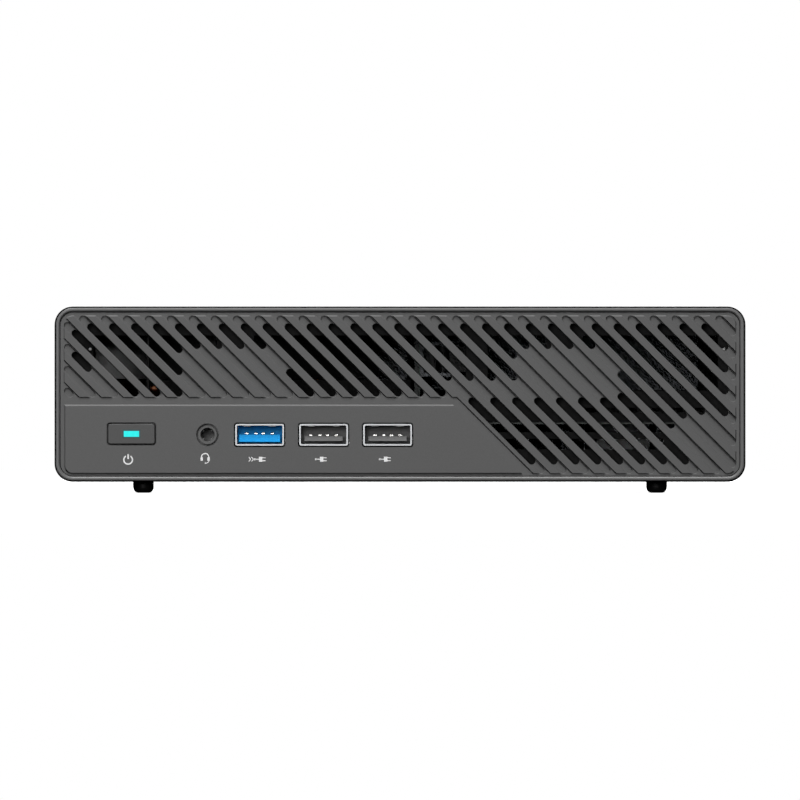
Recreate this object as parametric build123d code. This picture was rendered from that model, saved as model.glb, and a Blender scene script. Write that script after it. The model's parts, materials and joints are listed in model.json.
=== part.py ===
"""Mini PC: a low box computer whose inner chassis slides out of a one-piece outer sleeve.

Frame: +X to the right seen from the front, +Y towards the rear, +Z up, millimetres.
The origin is on the resting plane, midway between the two sides and between front and rear.
"""

from build123d import *
from math import atan2, degrees, hypot, sqrt
import os

# --- driving dimensions -------------------------------------------------------------------
WIDTH, DEPTH, HEIGHT = 189.0, 196.0, 48.0
FOOT_HEIGHT = 3.0
WALL = 1.5
CORNER_R = 5.0
BEZEL_GAP = 0.12
HEM = 1.4
LIP_R, LIP_INNER_R = 0.8, 0.55

FRONT, REAR = -DEPTH / 2, DEPTH / 2
BOTTOM, TOP = FOOT_HEIGHT, FOOT_HEIGHT + HEIGHT
MID_Z = (BOTTOM + TOP) / 2
INNER_X = WIDTH / 2 - WALL
FLOOR_Z = BOTTOM + WALL
CEILING_Z = TOP - WALL

# Front bezel: depths of its surface levels and of its plate.
BEZEL_X = INNER_X - BEZEL_GAP
BEZEL_Z0, BEZEL_Z1 = FLOOR_Z + BEZEL_GAP, CEILING_Z - BEZEL_GAP
BEZEL_R = CORNER_R - WALL - BEZEL_GAP
FACE_Y = FRONT + 0.4
RIB_Y = FACE_Y - 0.3
PANEL_Y = FACE_Y - 0.4
GROOVE_Y = FACE_Y + 0.4
PLATE_BACK_Y = FACE_Y + 2.5
SKIRT_BACK_Y = FRONT + 9.0
SKIRT_WALL = 1.2

# Diagonal rib field: grooves run along X + Z = constant, down to the right.
PITCH = 6.0
GROOVE_S0 = 26.8
GROOVE_R = 1.0
GROOVE_TOP_R, GROOVE_FLOOR_R = 1.06, 0.76
RIB_BEVEL, RIB_CORNER_R = 0.28, 0.8
FIELD_X = 92.0
FIELD_TOP, FIELD_BOTTOM = 48.57, 5.15
STEP_Z = 26.0
STEP_S = 41.5
DIAGONAL = 1 / sqrt(2)

# Through slots, given by where their rounded ends stop.
SLOT_X = 89.55
SLOT_TOP, SLOT_STEP, SLOT_BOTTOM = 46.1, 26.65, 8.05
SHORTEST_SLOT = 3.0
# Closed patches of the field: x from, x to, z from, z to.
BLANKS = (
    (-95.0, -80.0, 20.0, 33.4),
    (-59.75, -30.9, 20.0, 39.65),
    (13.0, 31.8, 25.85, 30.95),
    (31.8, 59.75, 25.85, 39.65),
)
# Three slots stop above the closed lower right corner.
CORNER_STOPS = {11: 17.95, 12: 20.6, 13: 21.6}

# Smooth port panel, lower left.
PANEL_TOP, PANEL_BOTTOM, PANEL_LEFT, PANEL_S = 24.18, 5.12, -91.9, 38.6
PANEL_BEVEL = 0.39

# Front ports and button.
PORT_Z = 15.9
BUTTON_X, BUTTON_Z = -73.45, 16.15
BUTTON_W, BUTTON_H = 12.9, 5.65
BUTTON_TRAVEL = 0.5
JACK_X, JACK_R, JACK_BORE_R, JACK_LENGTH = -52.65, 2.55, 1.8, 12.0
USB_X = (-38.4, -20.9, -3.4)
USB_OUT_W, USB_OUT_H = 13.3, 5.9
USB_IN_W, USB_IN_H = 12.5, 5.12
USB_LENGTH = 14.0
USB_PINS = (-3.5, -1.0, 1.0, 3.5)
# Contact carriers: half width, bottom, top.
FAST_TONGUE = (5.6, 14.0, 15.95)
PLAIN_TONGUE = (5.2, 14.2, 15.5)
FRONT_PORT_Y = PANEL_Y + 0.2

# Inner chassis.
SHEET = 1.0
TRAY_X = 91.8
TRAY_Y0, TRAY_Y1 = -88.0, 95.0
TRAY_Z = FLOOR_Z + 1.0
DECK_Z = TRAY_Z + SHEET
BOARD_Z = 18.85
BOARD_T = 1.6
BOARD_TOP = BOARD_Z + BOARD_T
BOARD_X = 88.0
BOARD_Y0, BOARD_Y1 = -85.0, 91.0
REAR_Y = TRAY_Y1
REAR_FACE_Y = REAR_Y + SHEET
PORT_FACE_Y = REAR_FACE_Y + 0.5
RUN = 0.05

STANDOFFS = ((-84, -78), (8, -78), (85.3, -80), (-84, 56), (46, 60), (85, 10))
FEET = ((-70.3, -78), (70.3, -78), (-71.5, 78), (71.5, 78))

# Fans.
BLOWER_X, BLOWER_Y, BLOWER_R = -45.0, -15.0, 39.0
BLOWER_Z0, BLOWER_Z1 = 31.3, 46.6
BLOWER_LEGS = ((-78, -25), (-78, 55), (-21, 60))
SSD_FAN_X, SSD_FAN_Y = -18.0, -4.0
SSD_FAN_SIZE, SSD_FAN_T = 60.0, 6.8

# Rear ports, by centre.
SFP_X = (78.5, 62.0)
RJ45_X = (43.5, 25.5)
REAR_USB_X = (8.5, -7.5)
USBC_X = (-21.5, -34.5)
HDMI_X = -51.5
DC_X = -73.0
CARD_X0, CARD_X1 = 12.0, 80.0
CARD_Z0, CARD_Z1 = 29.5, 43.9
VENT_X0, VENT_X1, VENT_Z0, VENT_Z1 = -84.0, -20.0, 32.4, 45.5
LATCH_X, LATCH_Z = -4.0, 41.0
LATCH_W, LATCH_H = 12.0, 6.0
LATCH_TRAVEL = 2.0
LOCK_X, LOCK_Z = -4.0, 30.0
PANEL_SCREWS = ((-88.2, 23.6), (88.2, 23.6), (-88.2, 45.3), (88.2, 45.3))
COVER_SCREWS_X = (10.3, 81.7)


# --- small builders -----------------------------------------------------------------------
def block(x0, x1, y0, y1, z0, z1):
    """A box given by its limits."""
    centre = ((x0 + x1) / 2, (y0 + y1) / 2, (z0 + z1) / 2)
    return Pos(*centre) * Box(x1 - x0, y1 - y0, z1 - z0)


def post(x, y, z0, z1, r):
    """An upright cylinder."""
    return Pos(x, y, (z0 + z1) / 2) * Cylinder(r, z1 - z0)


def rod(x, z, y0, y1, r):
    """A cylinder along Y."""
    return Pos(x, (y0 + y1) / 2, z) * Rot(90, 0, 0) * Cylinder(r, y1 - y0)


def rod_x(x0, x1, y, z, r):
    """A cylinder along X."""
    return Pos((x0 + x1) / 2, y, z) * Rot(0, 90, 0) * Cylinder(r, x1 - x0)


def facing_front(y):
    """A plane across Y whose local axes are +X and +Z, and which faces the front."""
    return Plane(origin=(0, y, 0), x_dir=(1, 0, 0), z_dir=(0, -1, 0))


def slab(sketch, y0, y1):
    """A sketch in X and Z made into a solid from y0 back to y1."""
    return extrude(facing_front(y1) * sketch, amount=y1 - y0)


def tablet(x, z, w, h, r, y0, y1):
    """A round-cornered prism along Y, centred at x, z."""
    return slab(Pos(x, z) * RectangleRounded(w, h, r), y0, y1)


def merge(parts):
    """One shape from a list of shapes."""
    whole = parts[0]
    for p in parts[1:]:
        whole += p
    return whole


def group(parts):
    """Separate solids that share a node."""
    return Compound(children=[s for p in parts for s in p.solids()])


def screw(x, y, z, axis, shaft, head_r=2.6, head_t=1.6, shaft_r=1.4, recess_r=1.1):
    """A pan-head machine screw whose head sits on x, y, z; axis points out of the head."""
    body = Pos(0, 0, head_t / 2) * Cylinder(head_r, head_t)
    body = fillet(body.edges().sort_by(Axis.Z)[-1], head_t * 0.45)
    cross = Box(recess_r * 2, recess_r * 0.5, 0.8) + Box(recess_r * 0.5, recess_r * 2, 0.8)
    body -= Pos(0, 0, head_t) * cross
    body += Pos(0, 0, -shaft / 2) * Cylinder(shaft_r, shaft)
    return Plane(origin=(x, y, z), z_dir=axis) * body


def stadium(x0, z0, x1, z1, r):
    """A round-ended slot outline between two centres in X and Z."""
    length = hypot(x1 - x0, z1 - z0)
    middle = Pos((x0 + x1) / 2, (z0 + z1) / 2)
    return middle * SlotCenterToCenter(max(length, 0.02), 2 * r, rotation=-45)


# --- diagonal pattern ---------------------------------------------------------------------
def groove_line(k):
    """X + Z along the centre of groove k."""
    return GROOVE_S0 + PITCH * k


def groove_ends(k):
    """Arc centres of groove k's two ends, or None outside the field."""
    s = groove_line(k)
    low = (FIELD_BOTTOM if s > STEP_S else STEP_Z) + GROOVE_R
    side, high = FIELD_X - GROOVE_R, FIELD_TOP - GROOVE_R
    x0, x1 = max(-side, s - high), min(side, s - low)
    return (x0, s - x0, x1, s - x1) if x1 - x0 > 0.3 else None


def slot_runs(k):
    """Arc centres of each through slot on groove k's line."""
    s = groove_line(k)
    low = CORNER_STOPS.get(k, SLOT_BOTTOM if s > STEP_S else SLOT_STEP)
    runs = [(max(-SLOT_X, s - SLOT_TOP), min(SLOT_X, s - low))]
    for x0, x1, z0, z1 in BLANKS:
        a, b = max(x0, s - z1), min(x1, s - z0)
        if b - a < 1.0:
            continue
        cut = []
        for p, q in runs:
            cut += [(p, min(q, a)), (max(p, b), q)]
        runs = cut
    inset = GROOVE_R * DIAGONAL
    kept = [(p + inset, q - inset) for p, q in runs if q - p > SHORTEST_SLOT]
    return [(p, s - p, q, s - q) for p, q in kept]


GROOVES = [k for k in range(-16, 20) if groove_ends(k)]


def field_outline():
    """The rib field: full height on the right, stepped up over the port panel."""
    corners = [
        (-FIELD_X, STEP_Z),
        (STEP_S - STEP_Z, STEP_Z),
        (STEP_S - FIELD_BOTTOM, FIELD_BOTTOM),
        (FIELD_X, FIELD_BOTTOM),
        (FIELD_X, FIELD_TOP),
        (-FIELD_X, FIELD_TOP),
    ]
    face = Polygon(*corners, align=None)
    outer = [v for v in face.vertices() if abs(v.X) > FIELD_X - 1 and abs(v.Y - STEP_Z) > 1]
    return fillet(outer, 2.4)


def ribs():
    """Raised parallelograms between the grooves, with bevelled edges."""
    field = field_outline()
    half = PITCH / 2 * DIAGONAL - GROOVE_R
    made = []
    for k in range(GROOVES[0] - 1, GROOVES[-1] + 1):
        s = groove_line(k) + PITCH / 2
        strip = Pos(s / 2, s / 2) * Rectangle(400, 2 * half, rotation=-45)
        lower_side = s - half / DIAGONAL
        floor_z = STEP_Z if lower_side < STEP_S else FIELD_BOTTOM
        for face in (strip & field).faces():
            if face.area < 1.5:
                continue
            foot = [
                v for v in face.vertices()
                if abs(v.Y - floor_z) < 0.01 and abs(v.X + v.Y - lower_side) < 0.01
            ]
            if foot:
                face = fillet(foot, RIB_CORNER_R).face()
            rib = extrude(facing_front(FACE_Y) * face, amount=FACE_Y - RIB_Y)
            made.append(chamfer(rib.edges().group_by(Axis.Y)[0], RIB_BEVEL))
    return made


def groove_cut(k):
    """Groove k as a cutter with sloping walls."""
    depth = GROOVE_Y - RIB_Y
    slope = degrees(atan2(GROOVE_TOP_R - GROOVE_FLOOR_R, depth))
    outline = facing_front(RIB_Y) * stadium(*groove_ends(k), GROOVE_TOP_R)
    return extrude(outline, amount=-depth, taper=slope)


# --- outer sleeve -------------------------------------------------------------------------
def outer_sleeve():
    """Square tube: rounded front lip, inward rear hem, side and floor vents, four foot holes."""
    sleeve = tablet(0, MID_Z, WIDTH, HEIGHT, CORNER_R, FRONT, REAR)
    sleeve = fillet(sleeve.edges().group_by(Axis.Y)[0], LIP_R)
    bore_w, bore_h, bore_r = 2 * INNER_X, CEILING_Z - FLOOR_Z, CORNER_R - WALL
    sleeve -= tablet(0, MID_Z, bore_w, bore_h, bore_r, FRONT - 1, REAR - HEM)
    sleeve -= tablet(
        0, MID_Z, bore_w - 2 * HEM, bore_h - 2 * HEM, bore_r - HEM, REAR - HEM - 1, REAR + 1
    )
    lip = sleeve.edges().group_by(Axis.Y)[0].filter_by(Axis.X).sort_by(Axis.Z)
    sleeve = fillet(lip[1], LIP_INNER_R)
    sleeve = fillet(sleeve.edges().group_by(Axis.Y)[-1], 0.35)
    side_cutters = []
    for i in range(21):
        y = -56 + PITCH * i
        slot = Pos(y, 35) * SlotCenterToCenter(16, 2.4, rotation=-45)
        side_cutters += [
            extrude(Plane.YZ.offset(x) * slot, amount=4) for x in (-96, 92)
        ]
    sleeve -= merge(side_cutters)
    sleeve -= merge(floor_slots(BOTTOM - 1, FLOOR_Z + 1, 27))
    for x, y in FEET:
        sleeve -= post(x, y, BOTTOM - 1, FLOOR_Z + 1, 1.6)
    return sleeve


def floor_slots(z0, z1, radius):
    """Diagonal slots within a circle under the storage fan."""
    made = []
    for i in range(-6, 7):
        off = i * PITCH * DIAGONAL
        half = sqrt(max(radius**2 - off**2, 0))
        if half < 6:
            continue
        at = Pos(SSD_FAN_X, SSD_FAN_Y) * Rot(0, 0, -45) * Pos(0, off)
        slot = at * SlotOverall(2 * half, 2.4)
        made.append(extrude(Plane.XY.offset(z0) * slot, amount=z1 - z0))
    return made


def rubber_feet():
    """Button feet with a stem pushed through the sleeve's floor."""
    feet = []
    for x, y in FEET:
        foot = post(x, y, 0, BOTTOM, 2.87)
        foot = fillet(foot.edges().sort_by(Axis.Z)[0], 1.5)
        foot += post(x, y, BOTTOM, FLOOR_Z, 1.6)
        feet.append(foot)
    return group(feet)


# --- front --------------------------------------------------------------------------------
def port_panel():
    """Smooth raised panel carrying the ports, bevelled except along its diagonal edge."""
    corners = [
        (PANEL_LEFT, PANEL_BOTTOM),
        (PANEL_S - PANEL_BOTTOM, PANEL_BOTTOM),
        (PANEL_S - PANEL_TOP, PANEL_TOP),
        (PANEL_LEFT, PANEL_TOP),
    ]
    face = Polygon(*corners, align=None)
    face = fillet([v for v in face.vertices() if v.X < 0 and v.Y < 10], 2.4)
    panel = extrude(facing_front(FACE_Y) * face, amount=FACE_Y - PANEL_Y)
    rim = [
        e for e in panel.edges().group_by(Axis.Y)[0]
        if e.center().X + e.center().Z < PANEL_S - 1
    ]
    return chamfer(rim, PANEL_BEVEL)


def front_bezel():
    """Moulded front: port panel, rib field, grooves, through slots, skirt and screw bosses."""
    mid, height = (BEZEL_Z0 + BEZEL_Z1) / 2, BEZEL_Z1 - BEZEL_Z0
    bezel = tablet(0, mid, 2 * BEZEL_X, height, BEZEL_R, FACE_Y, SKIRT_BACK_Y)
    bezel = fillet(bezel.edges().group_by(Axis.Y)[0], 0.1)
    bezel -= tablet(
        0,
        mid,
        2 * (BEZEL_X - SKIRT_WALL),
        height - 2 * SKIRT_WALL,
        BEZEL_R - SKIRT_WALL,
        PLATE_BACK_Y,
        SKIRT_BACK_Y + 1,
    )
    for rib in ribs():
        bezel += rib
    bezel += port_panel()
    for k in GROOVES:
        bezel -= groove_cut(k)
        for run in slot_runs(k):
            bezel -= slab(stadium(*run, GROOVE_R), GROOVE_Y - 0.5, PLATE_BACK_Y + 1)
    for x, z in BEZEL_SCREWS:
        bezel += rod(x, z, PLATE_BACK_Y - 0.5, SKIRT_BACK_Y, 2.6)
        bezel -= rod(x, z, PLATE_BACK_Y + 1.5, SKIRT_BACK_Y + 1, 1.1 + RUN)
    bezel -= tablet(BUTTON_X, BUTTON_Z, 13.55, 6.3, 0.95, FRONT - 1, PLATE_BACK_Y + 1)
    bezel -= rod(JACK_X, PORT_Z, FRONT - 1, PLATE_BACK_Y + 1, 3.1)
    for x in USB_X:
        bezel -= tablet(x, PORT_Z, 14.05, 6.7, 0.8, FRONT - 1, PLATE_BACK_Y + 1)
    return bezel


BEZEL_SCREWS = ((-45.0, 33.0), (45.0, 33.0), (-88.0, 9.5), (82.0, 12.5))


def front_frame():
    """Black sheet-steel frame behind the bezel, with windows for air and for the ports."""
    y0, y1 = SKIRT_BACK_Y, TRAY_Y0
    frame = tablet(0, (TRAY_Z + 48.7) / 2, 2 * TRAY_X, 48.7 - TRAY_Z, 2.2, y0, y1)
    windows = (
        (-84.0, -50.0, 24.8, 43.1),
        (-40.0, 18.0, 24.8, 43.1),
        (24.0, 40.0, 28.0, 43.1),
        (50.0, 87.0, 28.0, 43.1),
        (50.0, 87.0, 21.9, 23.3),
        (24.0, 87.0, 16.6, 19.5),
        (24.0, 72.0, 11.9, 14.8),
        (-86.0, 6.5, 8.0, 22.6),
    )
    for x0, x1, z0, z1 in windows:
        frame -= block(x0, x1, y0 - 1, y1 + 1, z0, z1)
    for x, z in BEZEL_SCREWS:
        frame -= rod(x, z, y0 - 1, y1 + 1, 1.1 + 0.2)
    return frame


def bezel_screws():
    """Screws that hold the bezel from inside the chassis."""
    made = [
        screw(x, TRAY_Y0, z, (0, 1, 0), SHEET + 4, 2.2, 1.4, 1.1, 0.9)
        for x, z in BEZEL_SCREWS
    ]
    return group(made)


def antenna_rivets():
    """White plastic rivets that hold the antennas to the frame's uprights."""
    rivets = []
    for x in (-84.75, 88.6):
        rivet = rod(x, 39.35, SKIRT_BACK_Y - 4.6, SKIRT_BACK_Y, 0.42)
        rivets.append(fillet(rivet.edges().sort_by(Axis.Y)[0], 0.2))
    return group(rivets)


def power_button():
    """Button cap with a retaining flange and a stem that ends in the switch."""
    y0, flange_y = PANEL_Y + 0.15, PLATE_BACK_Y + 0.3
    cap = tablet(BUTTON_X, BUTTON_Z, BUTTON_W, BUTTON_H, 0.7, y0, flange_y)
    cap = fillet(cap.edges().group_by(Axis.Y)[0], 0.3)
    cap += tablet(BUTTON_X, BUTTON_Z, 15.4, 8.0, 1.0, flange_y, flange_y + 0.8)
    cap += rod(BUTTON_X, BUTTON_Z, flange_y + 0.8, -89.4, 1.5)
    cap -= block(
        BUTTON_X - 2.1, BUTTON_X + 2.1, FRONT - 1, y0 + 2, BUTTON_Z - 0.8, BUTTON_Z + 0.8
    )
    return cap


def button_light():
    """Lit window in the middle of the button."""
    y0 = PANEL_Y + 0.15
    light = block(
        BUTTON_X - 2.1, BUTTON_X + 2.1, y0, y0 + 2, BUTTON_Z - 0.8, BUTTON_Z + 0.8
    )
    return light


def power_switch():
    """Right-angle push switch under the board, with a hole for the button's stem."""
    body = block(BUTTON_X - 3, BUTTON_X + 3, -91, -87.2, 13.2, BOARD_Z)
    return body - rod(BUTTON_X, BUTTON_Z, -92, -88.6, 1.5 + RUN)


def audio_jack():
    """3.5 mm socket: round nose, square body."""
    nose_y, end_y = PANEL_Y + 0.35, PANEL_Y + 0.35 + JACK_LENGTH
    body = rod(JACK_X, PORT_Z, nose_y, PLATE_BACK_Y + 0.3, JACK_R)
    body += block(
        JACK_X - 3, JACK_X + 3, PLATE_BACK_Y + 0.3, end_y + 1.5, PORT_Z - 2.95, BOARD_Z
    )
    body -= rod(JACK_X, PORT_Z, nose_y - 1, end_y, JACK_BORE_R)
    rim = Pos(JACK_X, nose_y, PORT_Z) * Rot(90, 0, 0)
    return body - rim * Cone(JACK_BORE_R, JACK_BORE_R + 0.35, 0.7)


def usb_shell(x, face_y, toward):
    """Folded steel shell of a type-A socket; toward is +1 where it runs to the rear."""
    y0, y1 = sorted((face_y, face_y + toward * USB_LENGTH))
    shell = tablet(x, PORT_Z, USB_OUT_W, USB_OUT_H, 0.55, y0, y1)
    mouth0, mouth1 = sorted((face_y - toward, face_y + toward * (USB_LENGTH - 0.4)))
    shell -= tablet(x, PORT_Z, USB_IN_W, USB_IN_H, 0.3, mouth0, mouth1)
    for dx in (-3.4, 3.4):
        spring_y = face_y + toward * 3.2
        tab = Pos(x + dx, spring_y, PORT_Z + USB_IN_H / 2 - 0.1) * Box(1.8, 3.0, 0.3)
        shell += tab
    return shell


def usb_tongue(x, face_y, toward, tongue):
    """Contact carrier low in the socket, standing off the shell's closed end."""
    half_w, z0, z1 = tongue
    root = face_y + toward * (USB_LENGTH - 0.4)
    y0, y1 = sorted((root, face_y + toward * 1.3))
    carrier = block(x - half_w, x + half_w, y0, y1, z0, z1)
    base0, base1 = sorted((root, root - toward * 3.5))
    carrier += block(x - 6.1, x + 6.1, base0, base1, PORT_Z - 2.4, PORT_Z + 2.4)
    for dx in USB_PINS:
        carrier -= pin_bar(x + dx, face_y, toward, z1)
    return carrier


def pin_bar(x, face_y, toward, top_z):
    """One flat contact let into the tongue's upper face."""
    y0, y1 = sorted((face_y + toward * 1.9, face_y + toward * 9.5))
    return block(x - 0.5, x + 0.5, y0, y1, top_z - 0.2, top_z)


def usb_contacts(x, face_y, toward, tongue):
    """Contacts of a type-A socket: flat bars, each with a sprung crest."""
    bars = []
    for dx in USB_PINS:
        crest = rod_x(x + dx - 0.42, x + dx + 0.42, face_y + toward * 4.4, tongue[2] + 0.3, 0.42)
        bars.append(pin_bar(x + dx, face_y, toward, tongue[2]) + (crest - block(
            x - 7, x + 7, -REAR, REAR, tongue[2] - 2, tongue[2] - 0.1
        )))
    return bars


# --- chassis ------------------------------------------------------------------------------
def chassis_tray():
    """Folded steel tray: deck, side flanges, rear posts and screw tabs."""
    tray = block(-TRAY_X, TRAY_X, TRAY_Y0, TRAY_Y1, TRAY_Z, DECK_Z)
    for side in (-1, 1):
        inner, outer = sorted((side * (TRAY_X - SHEET), side * TRAY_X))
        tray += block(inner, outer, TRAY_Y0, TRAY_Y1, DECK_Z, 24)
        tray += block(inner, outer, 82, TRAY_Y1, 24, 48.4)
        for z0, z1 in ((20.8, 26.4), (43.2, 48.4)):
            a, b = sorted((side * 85.5, side * (TRAY_X - SHEET)))
            tray += block(a, b, TRAY_Y1 - SHEET, TRAY_Y1, z0, z1)
    tray -= merge(floor_slots(TRAY_Z - 1, DECK_Z + 1, 27))
    for x, z in PANEL_SCREWS:
        tray -= rod(x, z, TRAY_Y1 - 2, TRAY_Y1 + 1, 1.45)
    return tray


def glide_strips():
    """Low-friction strips under the tray, which slide on the sleeve's floor."""
    strips = []
    for x in (-82, 82):
        strip = block(x - 3, x + 3, -84, 90, FLOOR_Z + RUN, TRAY_Z)
        strips.append(chamfer(strip.edges().group_by(Axis.Z)[0].filter_by(Axis.X), 0.5))
    return group(strips)


def standoffs():
    """Threaded posts between the tray and the main board."""
    made = []
    for x, y in STANDOFFS:
        hexagon = Pos(x, y) * RegularPolygon(2.6, 6)
        column = extrude(Plane.XY.offset(DECK_Z) * hexagon, amount=BOARD_Z - DECK_Z)
        made.append(column - post(x, y, BOARD_Z - 6, BOARD_Z + 1, 1.25))
    return group(made)


def board_screws():
    """Screws that hold the main board to its posts."""
    made = [
        screw(x, y, BOARD_TOP, (0, 0, 1), BOARD_T + 4, 2.6, 1.6, 1.2)
        for x, y in STANDOFFS
    ]
    return group(made)


def main_board():
    """Printed circuit board, with a nose that carries the front ports."""
    board = block(-BOARD_X, BOARD_X, BOARD_Y0, BOARD_Y1, BOARD_Z, BOARD_TOP)
    board += block(-84, 5, -93, BOARD_Y0, BOARD_Z, BOARD_TOP)
    for x, y in STANDOFFS:
        board -= post(x, y, BOARD_Z - 1, BOARD_TOP + 1, 1.5)
    return board


def board_parts():
    """Power coils, capacitors and larger chips on the board's upper face."""
    parts = []
    for i in range(6):
        coil = block(-47 + 8.5 * i, -40.4 + 8.5 * i, -46, -39.4, BOARD_TOP, BOARD_TOP + 4)
        parts.append(chamfer(coil.edges().filter_by(Axis.Z), 0.8))
    for i in range(5):
        can = post(-42.5 + 8.5 * i, -53, BOARD_TOP, BOARD_TOP + 5.6, 2.6)
        parts.append(fillet(can.edges().sort_by(Axis.Z)[-1], 0.5))
    for x, y, w, d in ((-70, 20, 14, 14), (-66, 45, 9, 9), (-16, 42, 12, 12), (66, 30, 8, 8)):
        parts.append(block(x, x + w, y, y + d, BOARD_TOP, BOARD_TOP + 1.1))
    return group(parts)


def coil_heat_sink():
    """Black cooler bar on the power coils, with fins across the air's way in."""
    x0, x1, y0, y1 = -66.0, 3.0, -56.5, -38.8
    top, seat, base = 31.0, BOARD_TOP + 4, BOARD_TOP + 5.8
    sink = block(x0, x1, y0, y1, base, base + 1.2)
    sink += block(x0, x1, -46.5, y1, seat, base)
    for i in range(7):
        y = y0 + 2.8 * i
        sink += block(x0, x1, y, y + 0.7, base + 1, top)
    return sink


# --- processor and cooling ----------------------------------------------------------------
CPU_X, CPU_Y = -24.0, -20.0
PLATE_TOP = 26.2
PIPE_R = 2.4
PIPE_Z = PLATE_TOP + PIPE_R + RUN


def processor():
    """Soldered processor: substrate with two bare dies."""
    chip = block(CPU_X - 25, CPU_X + 25, CPU_Y - 14, CPU_Y + 14, BOARD_TOP, 21.6)
    chip += block(CPU_X - 16, CPU_X + 6, CPU_Y - 5.5, CPU_Y + 5.5, 21.6, 22.25)
    return chip + block(CPU_X + 9, CPU_X + 18, CPU_Y - 5, CPU_Y + 5, 21.6, 22.25)


def cold_plate():
    """Copper plate on the processor, with four screw ears."""
    plate = block(CPU_X - 27, CPU_X + 27, CPU_Y - 18, CPU_Y + 18, 22.25, PLATE_TOP)
    plate = chamfer(plate.edges().filter_by(Axis.Z), 3)
    for x, y in PLATE_SCREWS:
        plate += block(x - 4, x + 4, y - 3.5, y + 3.5, 22.25, 23.45)
        plate -= post(x, y, 22, 27, 1.6)
    return plate


PLATE_SCREWS = tuple(
    (CPU_X + dx, CPU_Y + dy) for dx in (-30, 30) for dy in (-12, 12)
)


def plate_screws():
    """Screws of the cold plate."""
    made = [
        screw(x, y, 23.45, (0, 0, 1), 23.45 - BOARD_TOP - RUN, 2.4, 1.4, 1.2)
        for x, y in PLATE_SCREWS
    ]
    return group(made)


def heat_pipes():
    """Three copper pipes from the cold plate to the fin stack."""
    pipes = []
    for i in range(3):
        x0, x1 = CPU_X + 12 - 11 * i, -30 - 19 * i
        points = [
            (x0, CPU_Y - 16, PIPE_Z),
            (x0, 22 + 2 * i, PIPE_Z),
            (x1, 58 - 2 * i, PIPE_Z),
            (x1, 90, PIPE_Z),
        ]
        line = FilletPolyline(*points, radius=14)
        profile = Plane(origin=points[0], z_dir=(0, 1, 0)) * Circle(PIPE_R)
        pipes.append(sweep(profile, path=line))
    return group(pipes)


def fin_stack():
    """Aluminium fins on a soldered base, in front of the rear exhaust."""
    x0, x1, y0, y1 = -86.0, -18.0, 66.5, 93.0
    base_z, top_z = PIPE_Z + PIPE_R + RUN, 47.0
    stack = block(x0, x1, y0, y1, base_z, base_z + 0.8)
    count = 30
    step = (x1 - x0 - 0.4) / (count - 1)
    fins = [
        block(x0 + step * i, x0 + step * i + 0.4, y0, y1, base_z + 0.7, top_z)
        for i in range(count)
    ]
    return stack + fins


def blower_housing():
    """Volute of the processor fan, open to the fins, with an intake above and below."""
    wall, z0, z1 = 1.2, BLOWER_Z0, BLOWER_Z1
    x0, x1, y1 = BLOWER_X - BLOWER_R, -18.0, 66.4
    shell = post(BLOWER_X, BLOWER_Y, z0, z1, BLOWER_R) + block(x0, x1, BLOWER_Y, y1, z0, z1)
    shell -= post(BLOWER_X, BLOWER_Y, z0 + wall, z1 - wall, BLOWER_R - wall)
    shell -= block(x0 + wall, x1 - wall, BLOWER_Y + 6, y1 + 1, z0 + wall, z1 - wall)
    shell -= post(BLOWER_X, BLOWER_Y, z1 - 2, z1 + 1, 25)
    intake = post(BLOWER_X, BLOWER_Y, z0 - 1, z0 + 2, 25)
    for angle in (20, 140, 260):
        strut = Pos(BLOWER_X, BLOWER_Y, z0) * Rot(0, 0, angle) * Pos(18, 0, 0) * Box(22, 4, 4)
        intake -= strut
    shell -= intake - post(BLOWER_X, BLOWER_Y, z0 - 2, z0 + 3, 8)
    shell += post(BLOWER_X, BLOWER_Y, z0 + 1, z0 + 5, 3)
    for x, y in BLOWER_LEGS:
        shell += post(x, y, BOARD_TOP, z0 + 0.5, 2.2)
    return shell - post(BLOWER_X, BLOWER_Y, z0 + 1.2, z0 + 6, 1 + RUN)


def blower_rotor():
    """Radial impeller: cupped hub, disc and forward-leaning blades, on a steel shaft."""
    z0, z1 = BLOWER_Z0 + 2.2, BLOWER_Z1 - 2.0
    wheel = post(0, 0, z0, z1 - 1, 13) - post(0, 0, z0 - 1, z1 - 2.2, 11.6)
    wheel = fillet(wheel.edges().group_by(Axis.Z)[-1], 0.8)
    wheel += post(0, 0, z0 + 4, z0 + 5, 32) - post(0, 0, z0 + 3, z0 + 6, 12.5)
    count = 29
    blades = []
    for i in range(count):
        turn = Rot(0, 0, 360 / count * i)
        blade = turn * Pos(28, 0, (z0 + z1) / 2) * Rot(0, 0, 38) * Box(11, 0.8, z1 - z0)
        blades.append(blade)
    wheel += blades
    wheel += post(0, 0, BLOWER_Z0 + 1.4, z1 - 1.5, 1)
    return Pos(BLOWER_X, BLOWER_Y, 0) * wheel


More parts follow.
